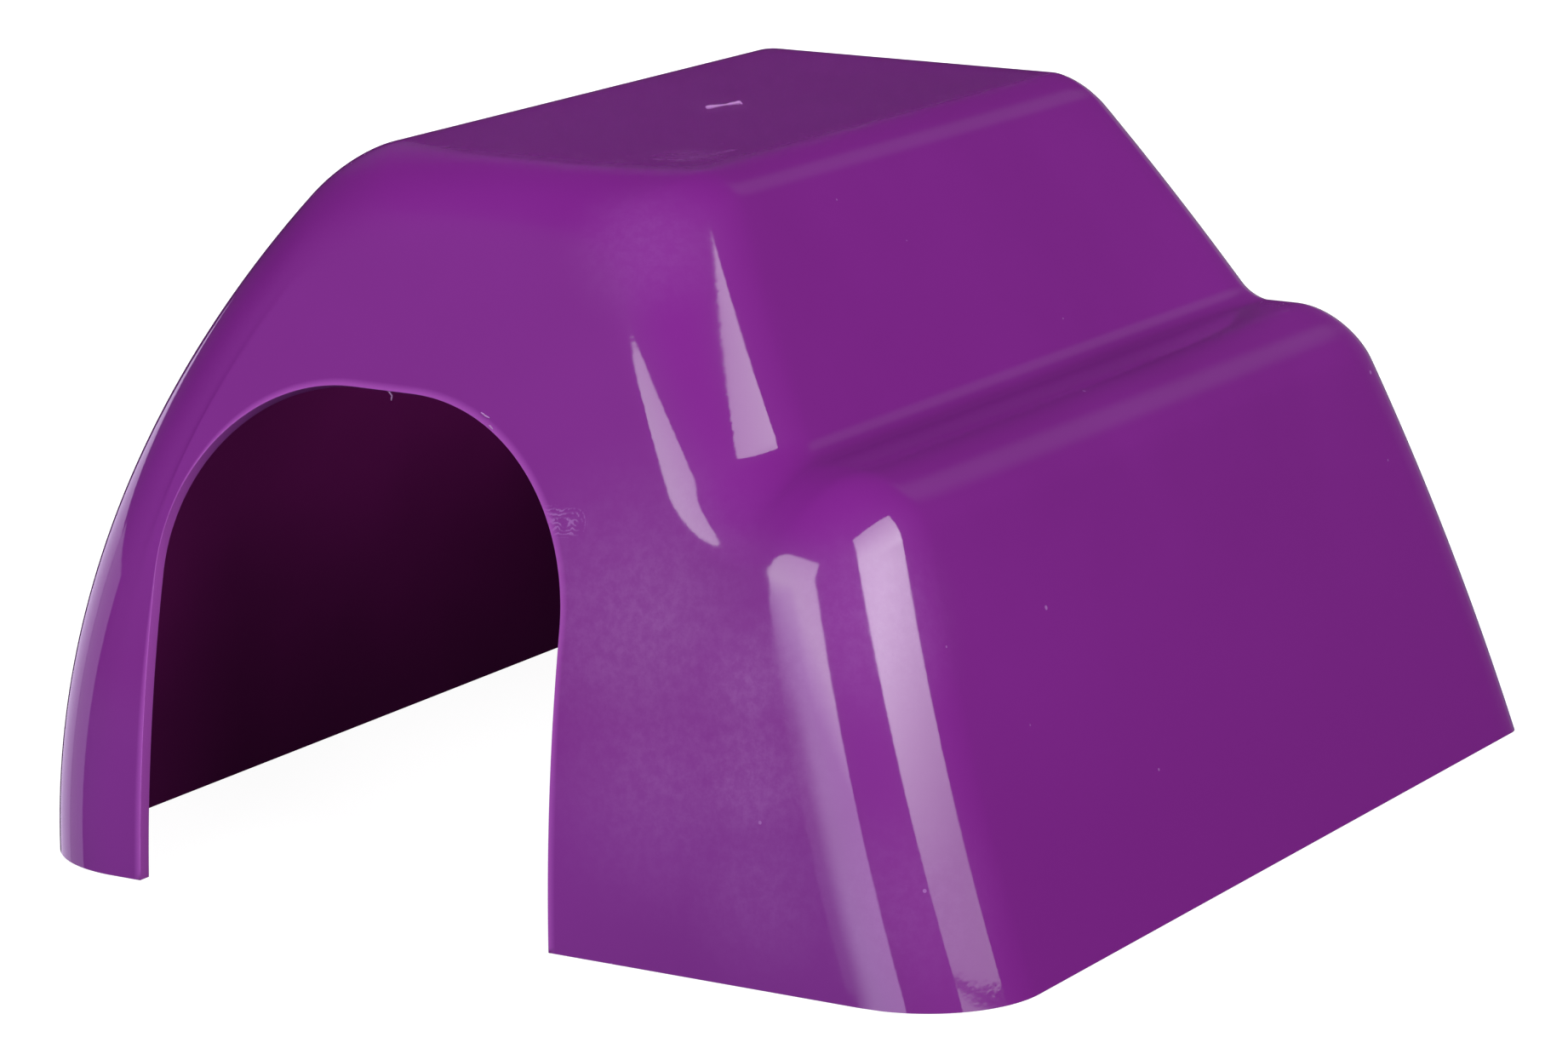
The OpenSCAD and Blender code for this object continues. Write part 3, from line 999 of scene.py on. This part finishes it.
# What the gloss sees of the studio. Each glow is a product of steps along the dome: the axis, start and end
# in parts of the dome's reach, and the levels there.
DOME_REACH = 5.0
DOME_SEGMENTS, DOME_RINGS = 48, 32
SIDE, DEPTH, HEIGHT = 0, 1, 2
TABLE_EDGE = (0.0, -0.12)
TABLE_TINT = (0.6, 0.6, 1.0)
DOME_GLOWS = {
    "band_behind": (
        (HEIGHT, 0.36, 0.46, 0.0, 0.13), (DEPTH, 0.66, 0.8, 0.0, 1.0),
        (SIDE, -0.02, 0.14, 0.0, 1.0), (SIDE, 0.35, 0.2, 0.0, 1.0),
    ),
    "ahead": ((DEPTH, 0.1, -0.8, 0.012, 0.17), (HEIGHT, 0.9, 0.6, 0.1, 1.0)),
    "back": ((DEPTH, 0.9, 0.95, 0.0, 0.25),),
    "table": ((HEIGHT, *TABLE_EDGE, 0.0, 0.25), (DEPTH, 0.0, -0.5, 0.0, 1.0)),
}
# The floor: half its side (m), and what the camera sees of it
FLOOR_REACH = 6.0
FLOOR_SHADE = (0.2, 0.2, 0.2)
FLOOR_GLOW = 0.92


def add_panel(context, name, ends, width, levels, grows=(0.0, 1.0), foot_tint=WHITE, cut=False):
    """A flat area light between two ends, turned to the house, its brightness led along its height."""
    foot, top = ends
    low, high, last = levels
    rise = top - foot
    lamp = bpy.data.lights.new(name, "AREA")
    lamp.shape = "RECTANGLE"
    lamp.size, lamp.size_y = width, rise.length
    lamp.energy = math.pi * width * rise.length
    lamp.use_nodes = True
    tree = lamp.node_tree
    u, v, _ = split(tree.nodes.new("ShaderNodeNewGeometry").outputs["Parametric"])
    strength = step(v, *grows, low, high)
    if last != high:
        strength = strength + (last - high) * part_of(v, grows[1], 1.0)
    if cut:
        aside = math_node("MAXIMUM", CUT_WIDTH - u, 0.0) / CUT_WIDTH
        above = math_node("MAXIMUM", v - (1.0 - CUT_HEIGHT), 0.0) / CUT_HEIGHT
        strength = strength * below(aside * aside + above * above, 1.0)
        faded = smooth_step(u, *SIDE_FADE)
        strength = strength * mix(faded, 1.0, smooth_step(v, *SIDE_FADE_ENDS, 0.0, 1.0))
    tint = blend(part_of(v, *grows), (*foot_tint, 1), (*WHITE, 1))
    set_inputs(tree.nodes["Emission"], {"Strength": strength, "Color": tint})
    panel = new_object(context, name, lamp)
    up = rise.normalized()
    middle = (foot + top) / 2
    back = (middle - LIT_CORNER).normalized()
    side = up.cross(back).normalized()
    turn = Matrix((side, up, side.cross(up))).transposed().to_4x4()
    panel.matrix_world = Matrix.Translation(middle) @ turn
    panel.visible_camera = False
    return panel


def bare_material(name):
    """A material without a shader, with its tree and the socket of its surface."""
    material, tree, shader = new_material(name)
    tree.nodes.remove(shader)
    return material, tree, tree.nodes["Material Output"].inputs[0]


def dome_material():
    """What the gloss sees of the studio: dim all round, a pale band behind, and the table ahead."""
    material, tree, surface = bare_material("dim_studio")
    place = [part / DOME_REACH for part in split(object_place(tree))]
    strength = 0.0
    for steps in DOME_GLOWS.values():
        level = 1.0
        for axis, *levels in steps:
            level = smooth_step(place[axis], *levels) * level
        strength = level + strength
    tint = blend(part_of(place[HEIGHT], *TABLE_EDGE), (*WHITE, 1), (*TABLE_TINT, 1))
    glow = made(tree, "ShaderNodeEmission", {"Strength": strength, "Color": tint})
    tree.links.new(glow, surface)
    return material


def add_dome(context):
    """A wide dim dome that only glossy reflections see."""
    mesh = bpy.data.meshes.new("studio_dome")
    ball = bmesh.new()
    bmesh.ops.create_uvsphere(
        ball, u_segments=DOME_SEGMENTS, v_segments=DOME_RINGS, radius=DOME_REACH
    )
    bmesh.ops.reverse_faces(ball, faces=ball.faces)
    ball.to_mesh(mesh)
    ball.free()
    mesh.materials.append(dome_material())
    dome = new_object(context, "studio_dome", mesh)
    for rays in ("camera", "diffuse", "shadow", "transmission"):
        setattr(dome, f"visible_{rays}", False)


def lead_rays(tree, others, seen, surface):
    """One shader for the rays that look at it, straight or by gloss or glass, and one for the others."""
    rays = tree.nodes.new("ShaderNodeLightPath")
    direct, glossy, through = (
        Field(rays.outputs[name]) for name in ("Is Camera Ray", "Is Glossy Ray", "Is Transmission Ray")
    )
    looks = math_node("ADD", direct + glossy, through, clamp=True)
    tree.links.new(made(tree, "ShaderNodeMixShader", {0: looks, 1: others, 2: seen}), surface)


def floor_material(pale):
    """A pale floor that the camera sees as white, with the house's shadow kept."""
    material, tree, surface = bare_material("pale_floor")
    bounce = made(tree, "ShaderNodeBsdfDiffuse", {"Color": (*pale, 1)})
    shade = made(tree, "ShaderNodeBsdfDiffuse", {"Color": (*FLOOR_SHADE, 1)})
    glow = made(tree, "ShaderNodeEmission", {"Strength": FLOOR_GLOW})
    lead_rays(tree, bounce, made(tree, "ShaderNodeAddShader", {0: shade, 1: glow}), surface)
    return material


class HOUSE_OT_stage(bpy.types.Operator):
    """Set the pale floor, the studio lights and the white background"""

    bl_idname = "house.build_stage"
    bl_label = "Build Stage"

    def execute(self, context):
        stage = context.scene.house_stage
        context.scene.view_settings.view_transform = "Standard"
        mesh = bpy.data.meshes.new("floor")
        corners = ((-1, -1), (1, -1), (1, 1), (-1, 1))
        corners = [(x * FLOOR_REACH, y * FLOOR_REACH, 0) for x, y in corners]
        mesh.from_pydata(corners, [], [(0, 1, 2, 3)])
        mesh.materials.append(floor_material(stage.floor))
        floor = new_object(context, "floor", mesh)
        floor.visible_glossy = False

        for box in SOFTBOXES:
            turn = math.radians(box["turn"])
            ahead = Vector((math.sin(turn), -math.cos(turn), 0))
            ends = []
            for distance, height in (box["low"], box["high"]):
                rise = Vector((0, 0, distance * math.tan(math.radians(height))))
                ends.append(LIT_CORNER + ahead * distance + rise)
            width = 2 * SOFTBOX_DISTANCE * math.tan(math.radians(box["half_width"]))
            levels = [stage.softbox * level for level in box["levels"]]
            add_panel(context, box["name"], ends, width, levels, **box["led"])
        for light in PANELS:
            ends = [Vector(point) for point in light["ends"]]
            levels = [getattr(stage, light["level"])] * 3
            panel = add_panel(context, light["name"], ends, light["width"], levels)
            panel.visible_glossy = False
            if "place" in light:
                panel.matrix_world = Matrix.Translation(light["place"])
        add_dome(context)

        world = bpy.data.worlds.new("studio")
        world.use_nodes = True
        context.scene.world = world
        tree = world.node_tree
        ambient = tree.nodes["Background"]
        set_inputs(ambient, {"Color": (*WHITE, 1), "Strength": stage.ambient})
        white = made(tree, "ShaderNodeBackground", {"Color": (*WHITE, 1), "Strength": 1.0})
        lead_rays(tree, ambient.outputs[0], white, tree.nodes["World Output"].inputs[0])
        return {"FINISHED"}


class HOUSE_PT_panel(bpy.types.Panel):
    """Sizes, finish and steps of the house"""

    bl_idname = "HOUSE_PT_panel"
    bl_label = "Guinea Pig House"
    bl_space_type = "VIEW_3D"
    bl_region_type = "UI"
    bl_category = "House"

    def draw(self, context):
        for group in (getattr(context.scene, name) for name in GROUPS):
            box = self.layout.box()
            for name in group.__annotations__:
                box.prop(group, name)
        for step in STEPS:
            self.layout.operator(step.bl_idname)


STEPS = (HOUSE_OT_stage, HOUSE_OT_camera, HOUSE_OT_shell, HOUSE_OT_marks)
GROUPS = {
    "house_sizes": HouseSizes, "house_marks": HouseMarks,
    "house_finish": HouseFinish, "house_stage": HouseStage,
}
CLASSES = (*GROUPS.values(), *STEPS, HOUSE_PT_panel)


def register():
    for cls in CLASSES:
        bpy.utils.register_class(cls)
    for name, group in GROUPS.items():
        setattr(bpy.types.Scene, name, bpy.props.PointerProperty(type=group))


def unregister():
    for name in reversed(GROUPS):
        delattr(bpy.types.Scene, name)
    for cls in reversed(CLASSES):
        bpy.utils.unregister_class(cls)


def main():
    register()
    bpy.ops.house.build_stage()
    bpy.ops.house.place_camera()
    bpy.ops.house.build_shell()
    bpy.ops.house.add_marks()


if __name__ == "__main__":
    main()
